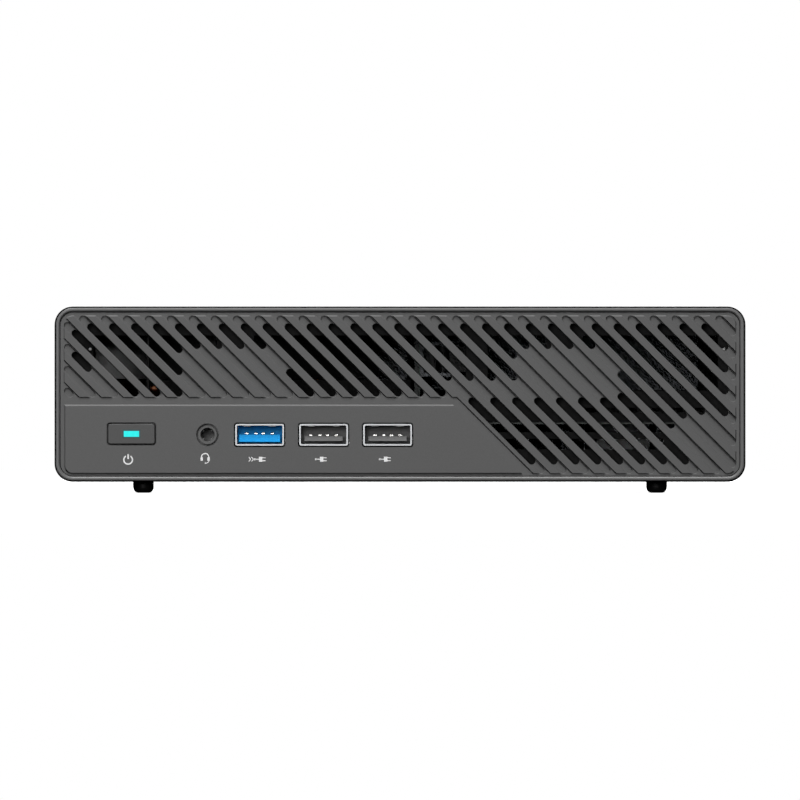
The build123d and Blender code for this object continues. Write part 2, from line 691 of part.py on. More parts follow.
def ssd_fan_frame():
    """Square frame of the storage fan, with struts and a bearing boss."""
    half, z0, z1 = SSD_FAN_SIZE / 2, DECK_Z, DECK_Z + SSD_FAN_T
    frame = Pos(0, 0, (z0 + z1) / 2) * Box(2 * half, 2 * half, z1 - z0)
    frame = fillet(frame.edges().filter_by(Axis.Z), 4)
    frame -= post(0, 0, z0 - 1, z1 + 1, 27.6)
    struts = []
    for angle in (45, 135, 225, 315):
        struts.append(
            Rot(0, 0, angle) * Pos(18, 0, z1 - 0.6) * Box(21, 2.4, 1.2)
        )
    frame += struts
    frame += post(0, 0, z1 - 1.2, z1, 9)
    frame += post(0, 0, z1 - 4.4, z1 - 1.2, 2.2)
    frame -= post(0, 0, z1 - 5, z1 - 0.6, 0.8 + RUN)
    for x, y in ((25, 25), (-25, 25), (25, -25), (-25, -25)):
        frame -= post(x, y, z0 - 1, z1 + 1, 1.6)
    return Pos(SSD_FAN_X, SSD_FAN_Y, 0) * frame


def ssd_fan_rotor():
    """Axial rotor of the storage fan."""
    z0, z1 = DECK_Z + 0.6, DECK_Z + SSD_FAN_T - 1.8
    hub = post(0, 0, z0, z1, 11.5) - post(0, 0, z0 + 1.2, z1 + 1, 10.2)
    hub = fillet(hub.edges().group_by(Axis.Z)[0], 0.6)
    span = post(0, 0, z0 + 0.2, z1, 26.6) - post(0, 0, z0 - 1, z1 + 1, 11)
    blades = []
    for i in range(9):
        blade = Rot(0, 0, 40 * i) * Pos(18.6, 0, (z0 + z1) / 2) * Rot(32, 0, 0)
        blades.append((blade * Box(18, 13, 0.9)) & span)
    hub += blades
    hub += post(0, 0, z0 + 1, z1 + 0.9, 0.8)
    return Pos(SSD_FAN_X, SSD_FAN_Y, 0) * hub


def fan_screws():
    """Screws that hold the storage fan to the tray."""
    made = []
    for dx, dy in ((25, 25), (-25, 25), (25, -25), (-25, -25)):
        x, y, z = SSD_FAN_X + dx, SSD_FAN_Y + dy, DECK_Z + SSD_FAN_T
        made.append(screw(x, y, z, (0, 0, 1), SSD_FAN_T - RUN, 2.4, 0.5, 1.2, 0.8))
    return group(made)


# --- memory, storage, radio ---------------------------------------------------------------
MEMORY_Y = (-53.0, -15.0)
MEMORY_X, MEMORY_W = 49.3, 67.6
MEMORY_Z = 23.4
SSD_X = (-41.0, -18.0, 5.0)
SSD_W, SSD_LENGTH = 22.0, 80.0
SSD_Y0 = -46.0
SSD_Z = 16.0


def memory_sockets():
    """Two laptop-memory sockets with side arms."""
    made = []
    for y in MEMORY_Y:
        bar = block(MEMORY_X - 36, MEMORY_X + 36, y, y + 7, BOARD_TOP, MEMORY_Z + 2.2)
        for side in (-1, 1):
            a, b = sorted((MEMORY_X + side * 34.4, MEMORY_X + side * 36))
            bar += block(a, b, y - 24, y, MEMORY_Z - 1.2, MEMORY_Z + 1.8)
        bar -= block(
            MEMORY_X - 33.9, MEMORY_X + 33.9, y - 1, y + 4, MEMORY_Z - RUN, MEMORY_Z + 1.25
        )
        made.append(bar)
    return group(made)


def memory_modules():
    """Two memory modules lying flat in their sockets."""
    made = []
    for y in MEMORY_Y:
        card = block(
            MEMORY_X - MEMORY_W / 2,
            MEMORY_X + MEMORY_W / 2,
            y - 27,
            y + 3,
            MEMORY_Z,
            MEMORY_Z + 1.2,
        )
        for i in range(4):
            x = MEMORY_X - 29 + 15.4 * i
            card += block(x, x + 11.5, y - 22, y - 12, MEMORY_Z + 1.2, MEMORY_Z + 2.2)
        made.append(card)
    return group(made)


def ssd_sockets():
    """Three edge sockets under the board."""
    y0 = SSD_Y0 + SSD_LENGTH - 3
    made = []
    for x in SSD_X:
        bar = block(x - 11, x + 11, y0, y0 + 8, SSD_Z - 1.2, BOARD_Z)
        bar -= block(x - SSD_W / 2 - 1, x + SSD_W / 2 + 1, y0 - 1, y0 + 3, SSD_Z - RUN, SSD_Z + 0.9)
        made.append(bar)
    return group(made)


def ssd_modules():
    """Three solid-state drives hanging under the board."""
    made = []
    for x in SSD_X:
        y1 = SSD_Y0 + SSD_LENGTH
        card = block(x - 10.9, x + 10.9, SSD_Y0, y1 - RUN, SSD_Z, SSD_Z + 0.8)
        card -= post(x, SSD_Y0, SSD_Z - 1, SSD_Z + 2, 1.7)
        for y in (SSD_Y0 + 8, SSD_Y0 + 27, SSD_Y0 + 50):
            card += block(x - 7, x + 7, y, y + 15, SSD_Z - 1.3, SSD_Z)
        made.append(card)
    return group(made)


def ssd_heat_plate():
    """Grooved aluminium plate under the drives."""
    z1 = SSD_Z - 1.3
    plate = block(-52, 16, SSD_Y0 + 6, SSD_Y0 + 68, z1 - 0.9, z1)
    grooves = [
        block(-53, 17, y, y + 1.5, z1 - 1, z1 - 0.5)
        for y in [SSD_Y0 + 9 + 4 * i for i in range(15)]
    ]
    return plate - merge(grooves)


def ssd_screws():
    """Short screws and posts that hold the free ends of the drives."""
    made = []
    for x in SSD_X:
        made.append(post(x, SSD_Y0, SSD_Z - 1.2, SSD_Z, 2.4) + post(x, SSD_Y0, SSD_Z, BOARD_Z, 1.6))
    return group(made)


def radio_card():
    """Wireless card in its socket, under a shield can."""
    x0, x1, y = -86.0, -64.0, -55.0
    card = block(x0, x1, y, y + 5, BOARD_TOP, BOARD_TOP + 4.2)
    card += block(x0 + 0.5, x1 - 0.5, y - 27, y + 0.5, BOARD_TOP + 2.4, BOARD_TOP + 3.2)
    can = block(x0 + 2, x1 - 2, y - 20, y - 3, BOARD_TOP + 3.2, BOARD_TOP + 4.6)
    card += fillet(can.edges().filter_by(Axis.Z), 1)
    for x in RADIO_PLUGS:
        card += post(x, RADIO_PLUG_Y, BOARD_TOP + 3.2, RADIO_PLUG_Z, 1.2)
    return card


RADIO_PLUGS = (-82.0, -69.0)
RADIO_PLUG_Y, RADIO_PLUG_Z = -78.5, BOARD_TOP + 4.4
CABLE_R = 0.56
LEAD_Y, LEAD_Z = -79.0, 46.4


def antennas():
    """Two antenna strips on the back of the front frame's uprights."""
    left = block(-91, -85.2, TRAY_Y0, TRAY_Y0 + 2, 32, 45)
    right = block(88, 91, TRAY_Y0, TRAY_Y0 + 2, 32, 45)
    return group([left, right])


def tube(points, radius):
    """A round cable along straight runs joined by tangent arcs."""
    line = FilletPolyline(*points, radius=radius)
    start = Vector(*points[1]) - Vector(*points[0])
    return sweep(Plane(origin=points[0], z_dir=start) * Circle(CABLE_R), path=line)


def antenna_cables():
    """Thin coaxial leads from the antennas to the wireless card."""
    back, turn = TRAY_Y0 + 2, 3.5
    left = [
        (-88, back, 36),
        (-88, RADIO_PLUG_Y, 36),
        (RADIO_PLUGS[0], RADIO_PLUG_Y, 30),
        (RADIO_PLUGS[0], RADIO_PLUG_Y, RADIO_PLUG_Z),
    ]
    right = [
        (89.5, back, 38),
        (89.5, LEAD_Y, 38),
        (89.5, LEAD_Y, LEAD_Z),
        (RADIO_PLUGS[1], LEAD_Y, LEAD_Z),
        (RADIO_PLUGS[1], RADIO_PLUG_Y, RADIO_PLUG_Z),
    ]
    return group([tube(left, turn), tube(right, turn)])


def cable_clips():
    """Clips on the frame's top band that carry the longer antenna lead."""
    made = []
    for x in (-40, 0, 40, 78):
        clip = block(x - 2, x + 2, TRAY_Y0, -77.6, 45.2, 47.6)
        clip -= rod_x(x - 3, x + 3, LEAD_Y, LEAD_Z, CABLE_R + RUN)
        made.append(clip)
    return group(made)


def coin_cell():
    """Clock battery in a round holder."""
    x, y = -31.0, -71.0
    holder = post(x, y, BOARD_TOP, BOARD_TOP + 3.6, 11.6)
    return holder - post(x, y, BOARD_TOP + 1, BOARD_TOP + 4, 10.1)


def coin_cell_battery():
    """The coin battery itself."""
    cell = post(-31, -71, BOARD_TOP + 1, BOARD_TOP + 4.2, 10)
    return fillet(cell.edges().sort_by(Axis.Z)[-1], 0.5)


# --- expansion bay ------------------------------------------------------------------------
RISER_X = 4.0
CARD_Z = 36.7


def riser_board():
    """Upright board that turns the expansion slot on its side."""
    return block(RISER_X, RISER_X + 1.6, -2, 78, BOARD_TOP, 45.5)


def expansion_slot():
    """Long card slot facing right, with its slit along the card's plane."""
    x0 = RISER_X + 1.6
    slot = block(x0, x0 + 11, 0, 76, CARD_Z - 3.7, CARD_Z + 3.7)
    slot = chamfer(slot.edges().group_by(Axis.X)[-1], 0.6)
    return slot - block(x0 + 3, x0 + 12, 2, 70, CARD_Z - 0.9, CARD_Z + 0.9)


def slot_latch():
    """Retaining latch at the slot's inner end, which turns out to free a card."""
    x, y = RISER_X + 8.0, -5.0
    latch = post(x, y, CARD_Z - 3.5, CARD_Z + 3.5, 2.2)
    latch += block(x, x + 9, y - 1.5, y + 1.5, CARD_Z - 3.5, CARD_Z + 3.5)
    latch += block(x + 6, x + 9, y, y + 3.4, CARD_Z - 3.5, CARD_Z + 3.5)
    return latch - post(x, y, CARD_Z - 5, CARD_Z + 5, 1 + RUN)


def card_latch_bracket():
    """Pivot pin and bracket of the retaining latch."""
    x, y = RISER_X + 8.0, -5.0
    pin = post(x, y, CARD_Z - 4.8, CARD_Z + 4.8, 1)
    for z in (CARD_Z - 4.8, CARD_Z + 3.8):
        pin += block(RISER_X + 1.6, x + 2, y - 2, y + 2, z, z + 1)
    return pin + block(RISER_X + 1.6, RISER_X + 2.6, y - 2, y + 5, CARD_Z - 4.8, CARD_Z + 4.8)


def slot_cover():
    """Blank bracket that closes the expansion opening, with three pressed stiffeners."""
    y0, y1 = REAR_Y - 0.9, REAR_Y
    x = (CARD_X0 + CARD_X1) / 2
    width, height = CARD_X1 - CARD_X0, CARD_Z1 - CARD_Z0
    cover = tablet(x, CARD_Z, width + 6, height + 2.6, 1, y0, y1)
    for dz in (-4, 0, 4):
        ridge = tablet(x, CARD_Z + dz, width - 10, 1.8, 0.85, y1 - 0.2, y1 + 0.6)
        cover += fillet(ridge.edges().group_by(Axis.Y)[-1], 0.4)
    for screw_x in COVER_SCREWS_X:
        cover -= rod(screw_x, CARD_Z, y0 - 1, y1 + 1, 0.95)
    return cover


# --- rear ---------------------------------------------------------------------------------
def rear_panel():
    """Steel rear plate with openings for ports, exhaust, expansion bay, latch and lock."""
    y0, y1 = REAR_Y, REAR_FACE_Y
    z0, z1 = FLOOR_Z + 0.6, CEILING_Z - 0.4
    panel = tablet(0, (z0 + z1) / 2, 2 * 92.4, z1 - z0, 3.2, y0, y1)
    cuts = [
        block(CARD_X0, CARD_X1, y0 - 1, y1 + 1, CARD_Z0, CARD_Z1),
        tablet(LATCH_X, LATCH_Z, LATCH_W + 0.6, LATCH_H + 0.6, 1.2, y0 - 1, y1 + 1),
        tablet(LOCK_X, LOCK_Z, 7.0, 3.0, 0.8, y0 - 1, y1 + 1),
        slab(hdmi_outline(0.45), y0 - 1, y1 + 1),
        rod(DC_X, 13.35, y0 - 1, y1 + 1, 4.4),
    ]
    cuts += [block(x - 7.25, x + 7.25, y0 - 1, y1 + 1, 9.1, BOARD_Z) for x in SFP_X]
    cuts += [block(x - 8, x + 8, y0 - 1, y1 + 1, 7.2, BOARD_Z) for x in RJ45_X]
    cuts += [tablet(x, PORT_Z, 13.5, 6.1, 0.65, y0 - 1, y1 + 1) for x in REAR_USB_X]
    cuts += [tablet(x, 17.2, 8.94, 3.26, 1.6, y0 - 1, y1 + 1) for x in USBC_X]
    cuts += [rod(x, z, y0 - 1, y1 + 1, 1.45) for x, z in PANEL_SCREWS]
    cuts += [rod(x, CARD_Z, y0 - 1, y1 + 1, 0.95) for x in COVER_SCREWS_X]
    cuts += exhaust_slots(y0 - 1, y1 + 1)
    panel += block(LOCK_X - 5, LOCK_X + 5, y0 - 4, y0, LOCK_Z - 3, LOCK_Z + 3)
    panel -= block(LOCK_X - 4.2, LOCK_X + 4.2, y0 - 3.2, y0, LOCK_Z - 2.2, LOCK_Z + 2.2)
    return panel - merge(cuts)


def exhaust_slots(y0, y1):
    """Diagonal exhaust slots, running the same way as the front's seen from behind."""
    made = []
    height = VENT_Z1 - VENT_Z0
    for i in range(30):
        d = VENT_X0 - VENT_Z0 - height + 4.5 * i
        lo = max(VENT_X0, d + VENT_Z0)
        hi = min(VENT_X1, d + VENT_Z1)
        if hi - lo < 4:
            continue
        x, z, length = (lo + hi) / 2, (lo + hi) / 2 - d, (hi - lo) * sqrt(2)
        slot = Pos(x, z) * SlotOverall(length, 2.0, rotation=45)
        made.append(slab(slot, y0, y1))
    return made


def panel_screws():
    """Screws that hold the rear plate to the tray and the blank bracket to the plate."""
    made = [
        screw(x, REAR_FACE_Y, z, (0, 1, 0), 4.0, 2.6, 1.3, 1.4, 1.0)
        for x, z in PANEL_SCREWS
    ]
    made += [
        screw(x, REAR_FACE_Y, CARD_Z, (0, 1, 0), 2.5, 1.5, 0.9, 0.9, 0.6)
        for x in COVER_SCREWS_X
    ]
    return group(made)


def sfp_cages():
    """Two spring-fingered cages for optical modules."""
    made = []
    for x in SFP_X:
        cage = block(x - 7.25, x + 7.25, 48, PORT_FACE_Y, 9.1, BOARD_Z)
        cage -= block(x - 6.85, x + 6.85, 48.4, PORT_FACE_Y + 1, 9.5, BOARD_Z - 0.4)
        made.append(cage)
    return group(made)


def rj45_shields():
    """Folded metal shields of the network sockets."""
    made = []
    for x in RJ45_X:
        shield = block(x - 8, x + 8, 76, PORT_FACE_Y, 7.2, BOARD_Z)
        shield -= block(x - 7.7, x + 7.7, 75, PORT_FACE_Y - 0.3, 7.5, BOARD_Z + 1)
        shield -= block(x - 5.95, x + 5.95, 90, PORT_FACE_Y + 1, 8.3, 16.2)
        shield -= block(x - 3.1, x + 3.1, 90, PORT_FACE_Y + 1, 16.1, 18.0)
        made.append(shield)
    return group(made)


def rj45_bodies():
    """Plastic sockets inside the shields, with the contact ledge."""
    made = []
    for x in RJ45_X:
        y1 = PORT_FACE_Y - 0.3
        body = block(x - 7.7, x + 7.7, 76, y1, 7.5, BOARD_Z)
        body -= block(x - 5.95, x + 5.95, 80, y1 + 1, 8.3, 16.2)
        body -= block(x - 3.1, x + 3.1, 84, y1 + 1, 16.1, 18.0)
        made.append(body)
    return group(made)


def usbc_shells():
    """Seamless oval shells of the two small reversible sockets."""
    made = []
    for x in USBC_X:
        shell = tablet(x, 17.2, 8.94, 3.26, 1.6, 88, PORT_FACE_Y)
        made.append(shell - tablet(x, 17.2, 8.34, 2.66, 1.3, 88.4, PORT_FACE_Y + 1))
    return group(made)


def hdmi_outline(grow):
    """Six-sided video outline, narrower below."""
    w, h = 7.0 + grow, 2.28 + grow
    corners = [(-w, h), (-w, 1.9 - h), (2.4 - w, -h), (w - 2.4, -h), (w, 1.9 - h), (w, h)]
    return Pos(HDMI_X, 15.9) * Polygon(*corners, align=None)


def hdmi_shell():
    """Shell of the video socket."""
    shell = slab(hdmi_outline(0.45), 85, PORT_FACE_Y)
    return shell - slab(hdmi_outline(0), 85.4, PORT_FACE_Y + 1)


def rear_port_tongues():
    """Contact carriers of the rear type-A, oval and video sockets."""
    made = [usb_tongue(x, PORT_FACE_Y, -1, FAST_TONGUE) for x in REAR_USB_X]
    made += [block(x - 3.35, x + 3.35, 88.4, PORT_FACE_Y - 0.8, 16.85, 17.55) for x in USBC_X]
    made.append(block(HDMI_X - 5.6, HDMI_X + 5.6, 85.4, PORT_FACE_Y - 1.2, 15.6, 16.9))
    return group(made)


def dc_socket():
    """Barrel power inlet."""
    body = block(DC_X - 4.5, DC_X + 4.5, 83, REAR_Y - 0.2, 7.85, BOARD_Z)
    body += rod(DC_X, 13.35, REAR_Y - 0.3, PORT_FACE_Y, 4.2)
    return body - rod(DC_X, 13.35, 86, PORT_FACE_Y + 1, 3.15)


def port_contacts():
    """Contacts of every type-A socket, the network wires and the power inlet's pin."""
    made = usb_contacts(USB_X[0], FRONT_PORT_Y, 1, FAST_TONGUE)
    for x in USB_X[1:]:
        made += usb_contacts(x, FRONT_PORT_Y, 1, PLAIN_TONGUE)
    for x in REAR_USB_X:
        made += usb_contacts(x, PORT_FACE_Y, -1, FAST_TONGUE)
    for x in RJ45_X:
        for i in range(8):
            made.append(Pos(x - 3.57 + 1.02 * i, 85.2, 9.9) * Rot(18, 0, 0) * Box(0.4, 9, 0.3))
    pin = rod(DC_X, 13.35, 86, PORT_FACE_Y - 1.0, 1.0)
    made.append(fillet(pin.edges().sort_by(Axis.Y)[-1], 0.5))
    return group(made)


# --- release latch ------------------------------------------------------------------------
def release_latch():
    """Push button, slide bar and hook that lock the chassis in the sleeve."""
    y0, flange_y = 70.0, REAR_Y - 1.5
    button = tablet(LATCH_X, LATCH_Z, LATCH_W, LATCH_H, 1.0, flange_y + 1, REAR_FACE_Y + 1.4)
    button = fillet(button.edges().group_by(Axis.Y)[-1], 0.4)
    button += block(LATCH_X - 8, LATCH_X + 8, flange_y, flange_y + 1.2, LATCH_Z - 4.5, LATCH_Z + 4.5)
    button += block(LATCH_X - 3, LATCH_X + 3, y0, flange_y, LATCH_Z - 1, LATCH_Z + 1)
    hook = block(LATCH_X - 2.5, LATCH_X + 2.5, y0, y0 + 5, LATCH_Z + 1, CEILING_Z - 0.5)
    return button + chamfer(hook.edges().group_by(Axis.Z)[-1].sort_by(Axis.Y)[-1], 2)


def release_latch_bracket():
    """Steel bracket on the board that guides the latch bar and backs its spring."""
    y0, y1 = 78.0, 79.2
    bracket = block(LATCH_X - 6, LATCH_X + 6, y0, y1, BOARD_TOP, 45)
    bracket += block(LATCH_X - 6, LATCH_X + 6, y0 - 7, y0, BOARD_TOP, BOARD_TOP + 1)
    slot = block(
        LATCH_X - 3.2, LATCH_X + 3.2, y0 - 1, y1 + 1, LATCH_Z - 1.2, LATCH_Z + 1.2
    )
    return bracket - slot


def latch_spring():
    """Compression spring between the bracket and the latch's flange."""
    wire, coil_r, y0, length = 0.3, 1.5, 79.55, 13.6
    line = Helix(pitch=1.7, height=length, radius=coil_r)
    start = Plane(origin=line @ 0, z_dir=line % 0)
    spring = sweep(start * Circle(wire), path=line)
    return Pos(LATCH_X - 5.0, y0, LATCH_Z - 3.2) * Rot(-90, 0, 0) * spring


# --- write --------------------------------------------------------------------------------
NODES = {
    "outer_sleeve": outer_sleeve,
    "rubber_feet": rubber_feet,
    "front_bezel": front_bezel,
    "front_frame": front_frame,
    "bezel_screws": bezel_screws,
    "antenna_rivets": antenna_rivets,
    "power_button": power_button,
    "button_light": button_light,
    "power_switch": power_switch,
    "audio_jack": audio_jack,
    "front_usb_shells": lambda: group([usb_shell(x, FRONT_PORT_Y, 1) for x in USB_X]),
    "usb3_tongue": lambda: usb_tongue(USB_X[0], FRONT_PORT_Y, 1, FAST_TONGUE),
    "usb2_tongues": lambda: group(
        [usb_tongue(x, FRONT_PORT_Y, 1, PLAIN_TONGUE) for x in USB_X[1:]]
    ),
    "port_contacts": port_contacts,
    "chassis_tray": chassis_tray,
    "glide_strips": glide_strips,
    "standoffs": standoffs,
    "main_board": main_board,
    "board_screws": board_screws,
    "board_parts": board_parts,
    "coil_heat_sink": coil_heat_sink,
    "processor": processor,
    "cold_plate": cold_plate,
    "cold_plate_screws": plate_screws,
    "heat_pipes": heat_pipes,
    "fin_stack": fin_stack,
    "blower_housing": blower_housing,
    "blower_rotor": blower_rotor,
    "ssd_fan_frame": ssd_fan_frame,
    "ssd_fan_rotor": ssd_fan_rotor,
    "ssd_fan_screws": fan_screws,
    "memory_sockets": memory_sockets,
    "memory_modules": memory_modules,
    "ssd_sockets": ssd_sockets,
    "ssd_modules": ssd_modules,
    "ssd_heat_plate": ssd_heat_plate,
    "ssd_screws": ssd_screws,
    "radio_card": radio_card,
    "antennas": antennas,
    "antenna_cables": antenna_cables,
    "cable_clips": cable_clips,
    "coin_cell_holder": coin_cell,
    "coin_cell": coin_cell_battery,
    "riser_board": riser_board,
    "expansion_slot": expansion_slot,
    "slot_latch": slot_latch,
    "latch_brackets": lambda: group([card_latch_bracket(), release_latch_bracket()]),
    "slot_cover": slot_cover,
    "rear_panel": rear_panel,
    "rear_panel_screws": panel_screws,
    "sfp_cages": sfp_cages,
    "rj45_shields": rj45_shields,
    "rj45_bodies": rj45_bodies,
    "rear_usb_shells": lambda: group([usb_shell(x, PORT_FACE_Y, -1) for x in REAR_USB_X]),
    "rear_port_tongues": rear_port_tongues,
    "usbc_shells": usbc_shells,
    "hdmi_shell": hdmi_shell,
    "dc_socket": dc_socket,
    "release_latch": release_latch,
    "latch_spring": latch_spring,
}

if __name__ == "__main__":
    os.makedirs("parts", exist_ok=True)
    for name, make in NODES.items():
        export_step(make(), f"parts/{name}.step")
    print(len(NODES), "nodes written")
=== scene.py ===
import json
import math
import random

import bpy
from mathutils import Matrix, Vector


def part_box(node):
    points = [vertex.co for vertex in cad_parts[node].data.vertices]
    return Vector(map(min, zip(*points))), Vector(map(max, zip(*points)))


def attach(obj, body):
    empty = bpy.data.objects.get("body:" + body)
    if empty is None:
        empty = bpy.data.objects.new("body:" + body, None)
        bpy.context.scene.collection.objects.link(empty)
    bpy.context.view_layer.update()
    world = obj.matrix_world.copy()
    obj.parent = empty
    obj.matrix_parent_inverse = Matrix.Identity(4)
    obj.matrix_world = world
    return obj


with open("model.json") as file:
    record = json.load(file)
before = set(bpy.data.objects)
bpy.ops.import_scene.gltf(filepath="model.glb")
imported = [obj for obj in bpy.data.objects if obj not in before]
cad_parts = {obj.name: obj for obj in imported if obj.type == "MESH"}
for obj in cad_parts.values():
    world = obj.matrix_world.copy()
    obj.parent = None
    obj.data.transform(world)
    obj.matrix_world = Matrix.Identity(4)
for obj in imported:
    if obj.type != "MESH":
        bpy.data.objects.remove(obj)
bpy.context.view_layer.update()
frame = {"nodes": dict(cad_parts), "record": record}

scene = bpy.context.scene
MM = 0.001


# --- places taken from the frame -----------------------------------------------------------
def centre(node):
    low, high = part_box(node)
    return (low + high) / 2


case_low, case_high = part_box("outer_sleeve")
case_middle = (case_low + case_high) / 2
half_size = (case_high - case_low) / 2
panel_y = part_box("front_bezel")[0].y
rear_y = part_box("rear_panel")[1].y
board_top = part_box("main_board")[1].z


# --- colours -------------------------------------------------------------------------------
def srgb(red, green, blue):
    """Linear colour from 0-255 display values."""
    def linear(value):
        value /= 255
        return value / 12.92 if value <= 0.04045 else ((value + 0.055) / 1.055) ** 2.4
    return (linear(red), linear(green), linear(blue), 1.0)


def grey(value):
    return srgb(value, value, value)


# --- material building blocks --------------------------------------------------------------
class Finish:
    """A node material: a shader plus procedural colour, roughness and relief."""

    def __init__(self, name, **sockets):
        self.material = bpy.data.materials.new(name)
        self.material.use_nodes = True
        self.tree = self.material.node_tree
        self.shader = self.tree.nodes["Principled BSDF"]
        for socket, value in sockets.items():
            self.shader.inputs[socket.replace("_", " ")].default_value = value
        self.place = self.tree.nodes.new("ShaderNodeTexCoord").outputs["Object"]

    def add(self, kind, **values):
        node = self.tree.nodes.new(kind)
        for key, value in values.items():
            if hasattr(node, key):
                setattr(node, key, value)
            else:
                node.inputs[key.replace("_", " ").title()].default_value = value
        return node

    def link(self, start, end):
        self.tree.links.new(start, end)

    def stretched(self, x, y, z):
        """Coordinates squeezed along an axis, for brushed or drawn metal."""
        node = self.add("ShaderNodeMapping")
        node.inputs["Scale"].default_value = (x, y, z)
        self.link(self.place, node.inputs["Vector"])
        return node.outputs["Vector"]

    def noise(self, size_mm, detail, roughness=0.5, place=None):
        """Cloudy pattern whose features are about size_mm across."""
        scale = 1 / (size_mm * MM)
        node = self.add("ShaderNodeTexNoise", scale=scale, detail=detail, roughness=roughness)
        self.link(place or self.place, node.inputs["Vector"])
        return node.outputs["Fac"]

    def cells(self, size_mm, feature="F1"):
        """Cellular pattern whose cells are about size_mm across."""
        node = self.add("ShaderNodeTexVoronoi", feature=feature, scale=1 / (size_mm * MM))
        self.link(self.place, node.inputs["Vector"])
        return node.outputs["Distance"]

    def colours(self, pattern, *stops):
        """Base colour from (position, colour) stops along a pattern."""
        self.link(self.ramp(pattern, *stops), self.shader.inputs["Base Color"])

    def ramp(self, pattern, *stops):
        """Colour along a pattern, from (position, colour) stops."""
        node = self.add("ShaderNodeValToRGB")
        band = node.color_ramp
        while len(band.elements) < len(stops):
            band.elements.new(0.5)
        for element, (position, colour) in zip(band.elements, stops):
            element.position = position
            element.color = colour
        self.link(pattern, node.inputs["Fac"])
        return node.outputs["Color"]

    def roughness(self, pattern, low, high):
        """Roughness that follows a pattern from low to high."""
        node = self.add("ShaderNodeMapRange")
        node.inputs["To Min"].default_value = low
        node.inputs["To Max"].default_value = high
        self.link(pattern, node.inputs["Value"])
        self.link(node.outputs["Result"], self.shader.inputs["Roughness"])

    def split(self, place):
        node = self.add("ShaderNodeSeparateXYZ")
        self.link(place, node.inputs["Vector"])
        return node.outputs

    def maths(self, operation, *terms):
        node = self.add("ShaderNodeMath", operation=operation)
        for socket, value in zip(node.inputs, terms):
            if isinstance(value, float):
                socket.default_value = value
            else:
                self.link(value, socket)
        return node.outputs["Value"]

    def squared(self, value):
        return self.maths("MULTIPLY", value, value)

    def shifted(self, value, axis):
        """A coordinate measured from the case's middle."""
        return self.maths("SUBTRACT", value, getattr(case_middle, axis))

    def mix(self, mask, plain, masked):
        """Base colour that is plain where the mask is 0 and masked where it is 1."""
        node = self.add("ShaderNodeMix", data_type="RGBA")
        colour_a, colour_b, result = node.inputs[6], node.inputs[7], node.outputs[2]
        self.link(mask, node.inputs["Factor"])
        self.link(plain, colour_a)
        colour_b.default_value = masked
        self.link(result, self.shader.inputs["Base Color"])
        return result

    def relief(self, pattern, depth_um, strength, under=None):
        """Bump of about depth_um, over an earlier bump if one is given."""
        node = self.add("ShaderNodeBump")
        node.inputs["Strength"].default_value = strength
        node.inputs["Distance"].default_value = depth_um * 1e-6
        self.link(pattern, node.inputs["Height"])
        if under is not None:
            self.link(under, node.inputs["Normal"])
        self.link(node.outputs["Normal"], self.shader.inputs["Normal"])
        return node.outputs["Normal"]


def shades(level, spread):
    """Two greys, spread either side of a level."""
    return (0.3, grey(level - spread)), (0.7, grey(level + spread))


# --- materials -----------------------------------------------------------------------------
LIP_CORNER = 5 * MM  # outer corner radius of the sleeve
PAINTED_SHADE_WIDTH = 0.4 * MM  # width of the black line painted round the lip's outer edge, as shade
PAINTED_SHADE_DEPTH = 0.7 * MM  # how far back from the front edge the painted shade line reaches
PAINTED_HIGHLIGHT_DEPTH = 0.9 * MM  # how far back the lip's paler face, a painted highlight, reaches
# direction of the bezel's groove walls that get painted shade
DOWN_TO_THE_LEFT = (-0.7071, 0, -0.7071)


def sleeve_coat():
    """Dark grey powder coat, with a paler front lip as a painted highlight and a black line round its
    outer edge as painted shade.
    """
    f = Finish("sleeve_coat", Roughness=0.4, IOR=1.5)
    fleck = f.ramp(f.noise(0.35, 3), *shades(84, 3))
    x, y, z = f.split(f.place)
    beside = f.maths("SUBTRACT", f.maths("ABSOLUTE", f.shifted(x, "x")), half_size.x - LIP_CORNER)
    above = f.maths("SUBTRACT", f.maths("ABSOLUTE", f.shifted(z, "z")), half_size.z - LIP_CORNER)
    beside_squared = f.squared(f.maths("MAXIMUM", beside, 0.0))
    above_squared = f.squared(f.maths("MAXIMUM", above, 0.0))
    from_corner = f.maths("SQRT", f.maths("ADD", beside_squared, above_squared))
    # Painted shade: the lip's outermost band near the front is marked for a black colour.
    outermost = f.maths("GREATER_THAN", from_corner, LIP_CORNER - PAINTED_SHADE_WIDTH)
    line = f.maths("MULTIPLY", outermost, f.maths("LESS_THAN", y, case_low.y + PAINTED_SHADE_DEPTH))
    # Painted highlight: the lip's front face gets a paler grey than the coat.
    lip = f.mix(f.maths("LESS_THAN", y, case_low.y + PAINTED_HIGHLIGHT_DEPTH), fleck, grey(98))
    f.mix(line, lip, grey(2))
    coat = f.maths("MULTIPLY_ADD", f.noise(1.2, 3), 0.12, 0.34)
    f.link(f.maths("MAXIMUM", coat, f.maths("MULTIPLY", line, 0.95)), f.shader.inputs["Roughness"])
    # Full metalness on the painted shade line, so its black takes no reflection either.
    f.link(line, f.shader.inputs["Metallic"])
    broad = f.relief(f.noise(1.1, 1), 6, 0.4)
    f.relief(f.cells(0.28), 3, 0.4, broad)
    return f.material


